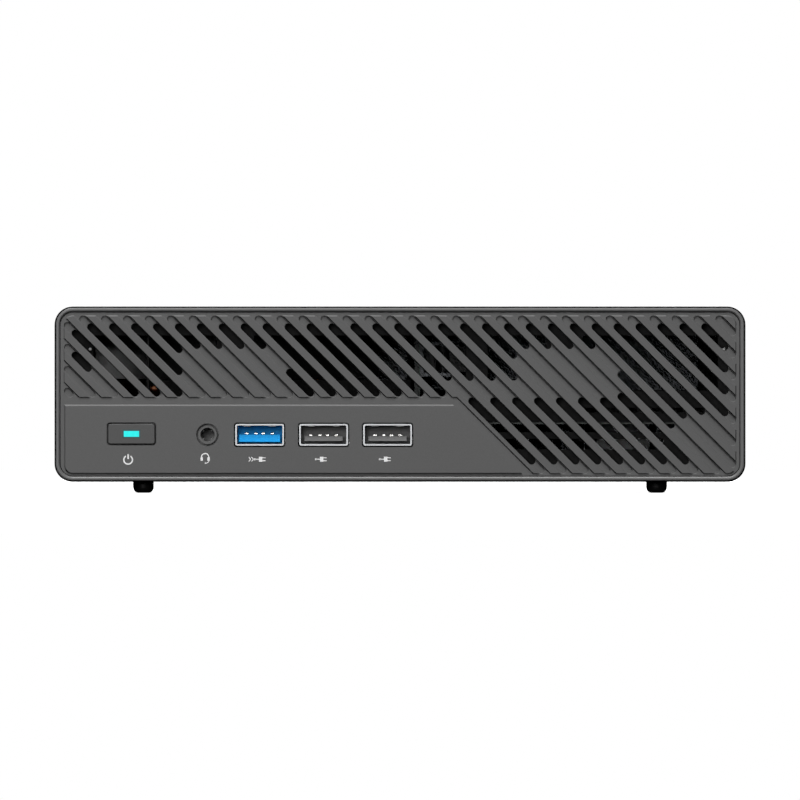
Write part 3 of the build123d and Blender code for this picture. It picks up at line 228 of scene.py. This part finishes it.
def bezel_plastic():
    """Fine-textured moulding, with painted shade: the groove walls that face down to the left are
    near-black.
    """
    f = Finish("bezel_plastic", Roughness=0.5, IOR=1.46)
    grain = f.ramp(f.noise(0.22, 3), *shades(86, 2.5))
    painted_shade_facing = f.add("ShaderNodeVectorMath", operation="DOT_PRODUCT")
    f.link(f.add("ShaderNodeNewGeometry").outputs["True Normal"], painted_shade_facing.inputs[0])
    painted_shade_facing.inputs[1].default_value = DOWN_TO_THE_LEFT
    # Painted shade: walls facing down to the left are coloured near-black.
    f.mix(f.maths("GREATER_THAN", painted_shade_facing.outputs["Value"], 0.7), grain, grey(12))
    f.roughness(f.noise(0.5, 2), 0.42, 0.56)
    f.relief(f.noise(0.12, 2, 0.6), 4, 0.5)
    return f.material


def button_plastic():
    """Smooth moulding of the power button, darker than the bezel."""
    f = Finish("button_plastic", Roughness=0.45)
    f.colours(f.noise(0.25, 2), *shades(68, 2))
    f.roughness(f.noise(0.6, 2), 0.4, 0.52)
    f.relief(f.noise(0.15, 2), 3, 0.4)
    return f.material


def lit_lens():
    """Teal lens lit from behind."""
    f = Finish("lit_lens", Roughness=0.4, Specular_IOR_Level=0.2, Emission_Strength=0.9)
    cloud = f.noise(1.6, 1)
    glow = f.ramp(cloud, (0.2, srgb(20, 226, 224)), (0.8, srgb(40, 248, 244)))
    f.link(glow, f.shader.inputs["Emission Color"])
    f.colours(cloud, (0.2, srgb(8, 90, 92)), (0.8, srgb(12, 110, 112)))
    return f.material


def black_steel():
    """Black-painted sheet of the tray, the frame and the rear panel."""
    f = Finish("black_steel", Roughness=0.55, Specular_IOR_Level=0.15)
    f.colours(f.noise(0.5, 3), (0.3, grey(9)), (0.7, grey(15)))
    f.roughness(f.noise(2.0, 2), 0.45, 0.62)
    f.relief(f.noise(0.3, 2), 5, 0.4)
    return f.material


def brushed(name, level, rough, along):
    """Bare metal with fine lines, drawn out by the scales in along."""
    f = Finish(name, Metallic=1.0, Roughness=rough)
    lines = f.noise(0.12, 3, place=f.stretched(*along))
    f.colours(lines, (0.3, grey(level - 10)), (0.7, grey(level + 8)))
    f.roughness(lines, rough - 0.06, rough + 0.08)
    f.relief(lines, 1.5, 0.4)
    return f.material


def bright_shell():
    """Satin nickel plate, which scatters enough light to stay pale inside the sockets."""
    f = Finish("bright_shell", Metallic=0.2, Roughness=0.3)
    lines = f.noise(0.12, 3, place=f.stretched(1, 0.05, 1))
    f.colours(lines, (0.3, srgb(186, 188, 191)), (0.7, srgb(202, 204, 206)))
    f.roughness(lines, 0.26, 0.4)
    f.relief(lines, 1.5, 0.4)
    return f.material


def plain_steel():
    """Black-zinc-plated sheet with a faint spangle."""
    f = Finish("plain_steel", Metallic=1.0, Roughness=0.4)
    spangle = f.cells(2.6, feature="SMOOTH_F1")
    f.colours(spangle, (0.1, srgb(74, 76, 79)), (0.8, srgb(98, 100, 102)))
    f.roughness(spangle, 0.3, 0.48)
    f.relief(f.noise(0.4, 2), 2, 0.3)
    return f.material


def moulded(name, dark, light, rough, grain_mm=0.2, depth=3, shine=0.5):
    """Moulded plastic with a fine grain, mottled between two colours."""
    f = Finish(name, Roughness=rough, Specular_IOR_Level=shine)
    f.colours(f.noise(grain_mm * 2, 3), (0.3, dark), (0.7, light))
    f.roughness(f.noise(grain_mm * 4, 2), rough - 0.07, rough + 0.07)
    f.relief(f.noise(grain_mm, 2), depth, 0.4)
    return f.material


def blue_plastic():
    return moulded("blue_plastic", srgb(16, 158, 240), srgb(34, 178, 252), 0.55, shine=0.2)


def black_plastic():
    return moulded("black_plastic", grey(24), grey(32), 0.45)


def socket_grey():
    return moulded("socket_grey", grey(76), grey(84), 0.42)


def tongue_grey():
    return moulded("tongue_grey", grey(106), grey(116), 0.5)


def white_plastic():
    return moulded("white_plastic", grey(226), grey(238), 0.4)


def cable_jacket():
    return moulded("cable_jacket", grey(16), grey(24), 0.4, 0.3)


def bright_contact():
    """Polished plating of the sprung contacts and the chips' terminals."""
    f = Finish("bright_contact", Metallic=0.85, Roughness=0.18)
    f.colours(f.noise(0.4, 2), (0.3, srgb(238, 237, 233)), (0.7, srgb(250, 249, 246)))
    f.roughness(f.noise(0.3, 2), 0.12, 0.22)
    return f.material


def black_rubber():
    """Matt rubber of the feet."""
    f = Finish("black_rubber", Roughness=0.5)
    f.colours(f.noise(0.8, 4), (0.3, grey(20)), (0.75, grey(34)))
    f.roughness(f.noise(1.2, 3), 0.38, 0.62)
    f.relief(f.noise(0.25, 3), 8, 0.4)
    return f.material


def board_laminate():
    """Dark green solder mask over a pattern of tracks."""
    f = Finish("board_laminate", Roughness=0.35)
    tracks = f.add("ShaderNodeTexBrick", scale=90.0, offset=0.37)
    tracks.inputs["Color1"].default_value = srgb(14, 40, 32)
    tracks.inputs["Color2"].default_value = srgb(18, 48, 38)
    tracks.inputs["Mortar"].default_value = srgb(30, 68, 54)
    tracks.inputs["Mortar Size"].default_value = 0.03
    f.link(f.place, tracks.inputs["Vector"])
    f.link(tracks.outputs["Color"], f.shader.inputs["Base Color"])
    f.roughness(f.noise(3, 2), 0.28, 0.42)
    f.relief(tracks.outputs["Fac"], 20, 0.4)
    return f.material


def chip_black():
    return moulded("chip_black", grey(30), grey(40), 0.5, 0.3, 5)


def copper():
    """Handled copper, unevenly darkened."""
    f = Finish("copper", Metallic=1.0, Roughness=0.32)
    dark, middle, light = srgb(176, 98, 66), srgb(206, 132, 92), srgb(222, 152, 108)
    f.colours(f.noise(6, 4), (0.25, dark), (0.5, middle), (0.8, light))
    f.roughness(f.noise(0.5, 3), 0.24, 0.4)
    f.relief(f.noise(0.4, 2, place=f.stretched(1, 0.1, 1)), 3, 0.4)
    return f.material


def fin_aluminium():
    return brushed("fin_aluminium", 205, 0.34, (1, 1, 0.06))


def black_screw():
    return brushed("black_screw", 58, 0.4, (1, 1, 1))


def print_white():
    """Screen-printed ink."""
    f = Finish("print_white", Roughness=0.6)
    f.colours(f.noise(0.2, 2), (0.3, grey(240)), (0.7, grey(252)))
    f.relief(f.noise(0.1, 2), 2, 0.3)
    return f.material


def floor_white():
    """Studio floor that glows white, so the softboxes cast no edge on it."""
    f = Finish("floor_white", Roughness=0.9, Emission_Strength=1.0)
    f.shader.inputs["Emission Color"].default_value = grey(250)
    f.colours(f.noise(60, 2), (0.3, grey(247)), (0.7, grey(251)))
    f.relief(f.noise(2, 2), 20, 0.2)
    return f.material


SLOT_MATERIALS = {
    make.__name__: make()
    for make in (
        sleeve_coat, bezel_plastic, button_plastic, lit_lens, black_steel, bright_shell,
        plain_steel, blue_plastic, black_plastic, white_plastic, bright_contact, black_rubber,
        board_laminate, chip_black, copper, fin_aluminium, black_screw, cable_jacket,
        socket_grey, tongue_grey,
    )
}
PRINT = print_white()

for part in frame["record"]["subparts"]:
    node = frame["nodes"][part["node"]]
    for holder in node.material_slots:
        holder.material = SLOT_MATERIALS[part["material_slot"]]


# --- flat shapes, in millimetres -----------------------------------------------------------
def disc(x, z, radius, count=24):
    turn = 2 * math.pi / count
    return [[(x + radius * math.cos(turn * i), z + radius * math.sin(turn * i)) for i in range(count)]]


def band(x, z, radius, width, start, stop, count=32):
    """A stretch of ring as quads, from start to stop degrees."""
    quads = []
    for i in range(count):
        a, b = (math.radians(start + (stop - start) * (i + j) / count) for j in (0, 1))
        inner, outer = radius - width / 2, radius + width / 2
        quads.append([
            (x + r * math.cos(t), z + r * math.sin(t))
            for r, t in ((inner, a), (outer, a), (outer, b), (inner, b))
        ])
    return quads


def stroke(x0, z0, x1, z1, width):
    length = math.hypot(x1 - x0, z1 - z0)
    across_x, across_z = (z0 - z1) / length * width / 2, (x1 - x0) / length * width / 2
    return [[
        (x0 + across_x, z0 + across_z), (x0 - across_x, z0 - across_z),
        (x1 - across_x, z1 - across_z), (x1 + across_x, z1 + across_z),
    ]]


def patch(x0, x1, z0, z1):
    return [[(x0, z0), (x1, z0), (x1, z1), (x0, z1)]]


def moved(faces, dx):
    return [[(x + dx, z) for x, z in face] for face in faces]


# --- meshes --------------------------------------------------------------------------------
def add_piece(name, points, faces, body, material):
    mesh = bpy.data.meshes.new(name)
    mesh.from_pydata(points, [], faces)
    mesh.materials.append(material)
    piece = bpy.data.objects.new(name, mesh)
    scene.collection.objects.link(piece)
    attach(piece, body)


def printed(name, shape, x, z, y, body, material, faces_rear=False):
    """Thin flat print of a shape given in millimetres about x, z (metres)."""
    side = -1 if faces_rear else 1
    points, faces = [], []
    for outline in shape:
        first = len(points)
        points += [(x + side * px * MM, y, z + pz * MM) for px, pz in outline]
        faces.append(list(range(first, first + len(outline))))
    add_piece(name, points, faces, body, material)


BOX_FACES = ((3, 2, 1, 0), (4, 5, 6, 7), (0, 1, 5, 4), (1, 2, 6, 5), (2, 3, 7, 6), (3, 0, 4, 7))


def solid_boxes(name, boxes, body, material):
    """One mesh of axis-aligned boxes given as (low corner, high corner) in metres."""
    points, faces = [], []
    for (x0, y0, z0), (x1, y1, z1) in boxes:
        n = len(points)
        ring = ((x0, y0), (x1, y0), (x1, y1), (x0, y1))
        points += [(x, y, z) for z in (z0, z1) for x, y in ring]
        faces += [tuple(n + corner for corner in face) for face in BOX_FACES]
    add_piece(name, points, faces, body, material)


# --- front pictograms ----------------------------------------------------------------------
def power_mark():
    return band(0, 0, 1.18, 0.36, 122, 418) + stroke(0, 0.2, 0, 1.55, 0.38)


def headset_mark():
    arch = band(0, 0.2, 1.02, 0.28, 0, 180)
    cups = patch(-1.25, -0.62, -0.75, 0.2) + patch(0.62, 1.25, -0.75, 0.2)
    boom = band(0.15, -0.55, 0.9, 0.2, 270, 345, 12) + disc(0.12, -1.42, 0.21, 12)
    return arch + cups + boom


def plug_mark():
    """A generic plug: body, cable and two prongs."""
    body = patch(-0.5, 0.45, -0.68, 0.68)
    cable = stroke(-1.6, 0, -0.5, 0, 0.26)
    prongs = stroke(0.45, 0.4, 1.35, 0.4, 0.24) + stroke(0.45, -0.4, 1.35, -0.4, 0.24)
    return body + cable + prongs + disc(-1.6, 0, 0.3, 12)


def fast_plug_mark():
    """The generic plug with two chevrons at its left."""
    chevrons = []
    for x in (-2.3, -1.55):
        chevrons += stroke(x, 0.6, x + 0.5, 0, 0.22) + stroke(x + 0.5, 0, x, -0.6, 0.22)
    return chevrons + moved(plug_mark(), 0.95)


INK_LIFT = 0.02 * MM
TYPE_A_WIDTH, TYPE_A_HEIGHT = 13.3, 5.9  # a type-A socket's shell, in millimetres
mark_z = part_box("front_bezel")[0].z + 4.6 * MM


def front_print(name, shape, x, left_mm, up_mm=0):
    """Print under a front control, left_mm to its left and up_mm above the common line."""
    printed(name, shape, x - left_mm * MM, mark_z + up_mm * MM, panel_y - INK_LIFT, "chassis", PRINT)


front_print("power_pictogram", power_mark(), centre("power_button").x, 0.9, -0.15)
front_print("headset_pictogram", headset_mark(), centre("audio_jack").x, 0.65, 0.35)
shells_low, shells_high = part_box("front_usb_shells")
shell_width = (shells_high.z - shells_low.z) * TYPE_A_WIDTH / TYPE_A_HEIGHT
first_x, last_x = shells_low.x + shell_width / 2, shells_high.x - shell_width / 2
front_print("fast_port_pictogram", fast_plug_mark(), first_x, 0.65)
for number, x in enumerate(((first_x + last_x) / 2, last_x), 1):
    front_print(f"port_pictogram_{number}", plug_mark(), x, 0.5)


# --- rear pictograms -----------------------------------------------------------------------
def screen_mark():
    bars = patch(-1.4, 1.4, 0.75, 1.0) + patch(-1.4, 1.4, -0.75, -0.5)
    sides = patch(-1.4, -1.15, -0.5, 0.75) + patch(1.15, 1.4, -0.5, 0.75)
    stand = patch(-0.12, 0.12, -1.15, -0.75) + patch(-0.7, 0.7, -1.35, -1.12)
    return bars + sides + stand


def network_mark():
    """Three boxes joined by lines."""
    boxes = patch(-0.4, 0.4, 0.45, 1.05)
    boxes += patch(-1.4, -0.6, -1.05, -0.45) + patch(0.6, 1.4, -1.05, -0.45)
    trunk = patch(-0.08, 0.08, 0, 0.45) + patch(-1.08, 1.08, -0.08, 0.08)
    drops = patch(-1.08, -0.92, -0.45, 0) + patch(0.92, 1.08, -0.45, 0)
    return boxes + trunk + drops


def inlet_mark():
    """Barrel plug polarity: centre pin, sleeve ring and two leads."""
    leads = patch(0.28, 2.0, -0.1, 0.1) + patch(-2.0, -0.8, -0.1, 0.1)
    return disc(0, 0, 0.28, 16) + band(0, 0, 0.8, 0.2, 40, 320) + leads


def padlock_mark():
    return patch(-0.8, 0.8, -1.0, 0.15) + band(0, 0.15, 0.55, 0.2, 0, 180)


def light_mark():
    """Two arrows over a bar, for the optical cages."""
    bar = patch(-1.3, 1.3, -0.75, -0.55)
    shafts = stroke(-0.6, -0.3, -0.6, 0.8, 0.18) + stroke(0.6, -0.3, 0.6, 0.8, 0.18)
    left_head = stroke(-0.95, 0.4, -0.6, 0.85, 0.18) + stroke(-0.25, 0.4, -0.6, 0.85, 0.18)
    right_head = stroke(0.25, 0.4, 0.6, 0.85, 0.18) + stroke(0.95, 0.4, 0.6, 0.85, 0.18)
    return bar + shafts + left_head + right_head


def rear_print(name, shape, x, z):
    printed(name, shape, x, z, rear_y + INK_LIFT, "chassis", PRINT, faces_rear=True)


def pair_prints(name, shape, node, width_mm, lift_mm):
    """One print above each of a node's two connectors, which are width_mm wide."""
    low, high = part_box(node)
    for number, x in enumerate((low.x + width_mm / 2 * MM, high.x - width_mm / 2 * MM), 1):
        rear_print(f"{name}_{number}", shape, x, high.z + lift_mm * MM)


rear_print("video_pictogram", screen_mark(),
           centre("hdmi_shell").x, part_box("hdmi_shell")[1].z + 3.2 * MM)
rear_print("inlet_pictogram", inlet_mark(),
           centre("dc_socket").x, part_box("dc_socket")[1].z + 3.0 * MM)
pair_prints("network_pictogram", network_mark(), "rj45_shields", 16, 3.2)
pair_prints("optical_pictogram", light_mark(), "sfp_cages", 14.5, 3.2)
pair_prints("rear_fast_pictogram", fast_plug_mark(), "rear_usb_shells", TYPE_A_WIDTH, 2.8)
pair_prints("rear_oval_pictogram", plug_mark(), "usbc_shells", 8.94, 2.9)
LOCK_LEFT, LOCK_BELOW = 11 * MM, 6 * MM  # from the release button to the lock's print
rear_print("lock_pictogram", padlock_mark(),
           centre("release_latch").x - LOCK_LEFT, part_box("release_latch")[0].z - LOCK_BELOW)


# --- small added pieces --------------------------------------------------------------------
def lens_halo():
    """Dark teal band round the lit lens, just in front of the button's face."""
    low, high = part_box("button_light")
    half_w, half_h = (high.x - low.x) / 2 / MM, (high.z - low.z) / 2 / MM
    outer_w, outer_h = half_w + HALO_RIM, half_h + HALO_RIM
    shape = patch(-outer_w, outer_w, half_h, outer_h) + patch(-outer_w, outer_w, -outer_h, -half_h)
    shape += patch(-outer_w, -half_w, -half_h, half_h) + patch(half_w, outer_w, -half_h, half_h)
    spot = centre("button_light")
    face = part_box("power_button")[0].y
    printed("lens_halo", shape, spot.x, spot.z, face - HALO_LIFT, "button", HALO)


def jack_insides():
    """Four leaf contacts in the headset socket's bore, and a grey disc on its end wall."""
    spot, face = centre("audio_jack"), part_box("audio_jack")[0].y
    boxes = []
    for dx, dz in ((-1, -1), (-1, 1), (1, -1), (1, 1)):
        x, z = spot.x + dx * SPRING_OFFSET, spot.z + dz * SPRING_OFFSET
        near = (x - SPRING_HALF, face + SPRING_START, z - SPRING_HALF)
        far = (x + SPRING_HALF, face + SPRING_END, z + SPRING_HALF)
        boxes.append((near, far))
    pale = SLOT_MATERIALS["tongue_grey"]
    solid_boxes("jack_springs", boxes, "chassis", pale)
    view = bpy.context.evaluated_depsgraph_get()
    start = (spot.x, face - 1 * MM, spot.z)
    end = scene.ray_cast(view, start, (0, 1, 0))[1]
    printed("jack_end_disc", disc(0, 0, 1.1), spot.x, spot.z, end.y - 0.05 * MM, "chassis", pale)


def board_components():
    """Small chip parts on the board's free areas, which are found by looking up and down."""
    chance = random.Random(23)
    low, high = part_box("main_board")
    view = bpy.context.evaluated_depsgraph_get()
    board = frame["nodes"]["main_board"]
    tan, black, ends = [], [], []

    def free(x, y):
        above = (x, y, board_top + 1.5 * MM)
        hit, _, _, _, thing, _ = scene.ray_cast(view, above, (0, 0, -1))
        if not hit or thing.name != board.name:
            return False
        surface = (x, y, board_top + 0.05 * MM)
        hit, _, normal, _, _, _ = scene.ray_cast(view, surface, (0, 0, 1), distance=0.03)
        return not hit or normal.z < 0

    for _ in range(CHIP_TRIES):
        x = chance.uniform(low.x + BOARD_MARGIN, high.x - BOARD_MARGIN)
        y = chance.uniform(low.y + BOARD_MARGIN, high.y - BOARD_MARGIN)
        length, width = chance.choice(CHIP_SIZES)
        if chance.random() < 0.5:
            length, width = width, length
        dx, dy = length / 2 * MM, width / 2 * MM
        spread = [(x + a * (dx + MM), y + b * (dy + MM)) for a in (-1, 0, 1) for b in (-1, 0, 1)]
        if not all(free(*spot) for spot in spread):
            continue
        top = board_top + (0.4 * min(length, width) * MM + 0.2 * MM)
        chance.choice((tan, black)).append(((x - dx, y - dy, board_top), (x + dx, y + dy, top)))
        along = (0.2 * dx, 0) if length > width else (0, 0.2 * dy)
        half_x, half_y = (along[0] or dx) + TERMINAL_SKIN, (along[1] or dy) + TERMINAL_SKIN
        for side in (-1, 1):
            cx = x + side * (dx - along[0]) if along[0] else x
            cy = y + side * (dy - along[1]) if along[1] else y
            foot = (cx - half_x, cy - half_y, board_top)
            crown = (cx + half_x, cy + half_y, top + TERMINAL_SKIN)
            ends.append((foot, crown))
    solid_boxes("ceramic_chips", tan, "chassis", CERAMIC)
    solid_boxes("resistor_chips", black, "chassis", SLOT_MATERIALS["chip_black"])
    solid_boxes("chip_terminals", ends, "chassis", SLOT_MATERIALS["bright_contact"])


HALO_RIM = 0.38  # width of the lens's surround, in millimetres
HALO_LIFT = 0.01 * MM
SPRING_OFFSET = 1.12 * MM  # from the headset socket's axis, along X and along Z
SPRING_HALF = 0.2 * MM
SPRING_START, SPRING_END = 1.2 * MM, 5 * MM  # depth behind the socket's face
CHIP_TRIES = 420
CHIP_SIZES = ((1.6, 0.8), (1.0, 0.5), (2.0, 1.25), (3.2, 1.6))  # millimetres
BOARD_MARGIN = 3 * MM
TERMINAL_SKIN = 0.02 * MM
HALO = moulded("halo_teal", srgb(4, 56, 60), srgb(8, 66, 70), 0.4)
CERAMIC = moulded("ceramic_tan", srgb(150, 120, 92), srgb(166, 136, 104), 0.5)
lens_halo()
jack_insides()
board_components()


# --- stage, light and camera ---------------------------------------------------------------
FLOOR_SIZE = 6
FLOOR_GAP = 0.2 * MM
LENS_MM, SENSOR_MM = 1600, 36
BODY_SHARE = 691.05 / 800  # part of the picture's width that the body takes
EYE_HEIGHT = 25.42 * MM


def floor():
    bpy.ops.mesh.primitive_plane_add(size=FLOOR_SIZE, location=(0, 0, -FLOOR_GAP))
    plane = bpy.context.object
    plane.name = "floor"
    plane.data.materials.append(floor_white())
    plane.visible_diffuse = False
    plane.visible_glossy = False


def softbox(name, place, aim, width, height, power):
    """Rectangular lamp, in metres and watts."""
    lamp = bpy.data.lights.new(name, "AREA")
    lamp.shape = "RECTANGLE"
    lamp.size = width
    lamp.size_y = height
    lamp.energy = power
    light = bpy.data.objects.new(name, lamp)
    light.location = place
    light.rotation_euler = (Vector(aim) - Vector(place)).to_track_quat("-Z", "Y").to_euler()
    scene.collection.objects.link(light)


def surroundings():
    """White backdrop that only the camera sees: the softboxes do all the lighting."""
    world = bpy.data.worlds.new("studio")
    world.use_nodes = True
    background = world.node_tree.nodes["Background"]
    background.inputs["Color"].default_value = (1, 1, 1, 1)
    background.inputs["Strength"].default_value = 1.0
    scene.world = world
    for ray in ("diffuse", "glossy", "transmission", "scatter"):
        setattr(world.cycles_visibility, ray, False)


def camera():
    """Square-on view from far away, so there is almost no perspective."""
    distance = (case_high.x - case_low.x) / BODY_SHARE * LENS_MM / SENSOR_MM
    data = bpy.data.cameras.new("camera")
    data.lens = LENS_MM
    data.sensor_width = SENSOR_MM
    data.clip_end = 400
    eye = bpy.data.objects.new("camera", data)
    eye.location = (0.0, case_low.y - distance, EYE_HEIGHT)
    eye.rotation_euler = (math.pi / 2, 0, 0)
    scene.collection.objects.link(eye)
    scene.camera = eye


floor()
surroundings()
softbox("key", (-0.35, -0.95, 1.25), (0, -0.1, 0.03), 0.6, 0.4, 15)
softbox("high_front", (-0.1, -0.6, 1.4), (0, -0.1, 0.03), 0.7, 0.4, 18)
softbox("front_fill", (-0.22, -2.4, 0.28), (0, -0.1, 0.03), 0.5, 0.5, 11.5)
softbox("side_left", (-1.4, 0.7, 0.4), (0, 0, 0.03), 0.8, 0.5, 12)
softbox("side_right", (1.4, 0.7, 0.4), (0, 0, 0.03), 0.8, 0.5, 14)
softbox("rear", (0.1, 1.4, 0.7), (0, 0.1, 0.03), 0.8, 0.6, 12)
camera()
scene.view_settings.view_transform = "Standard"
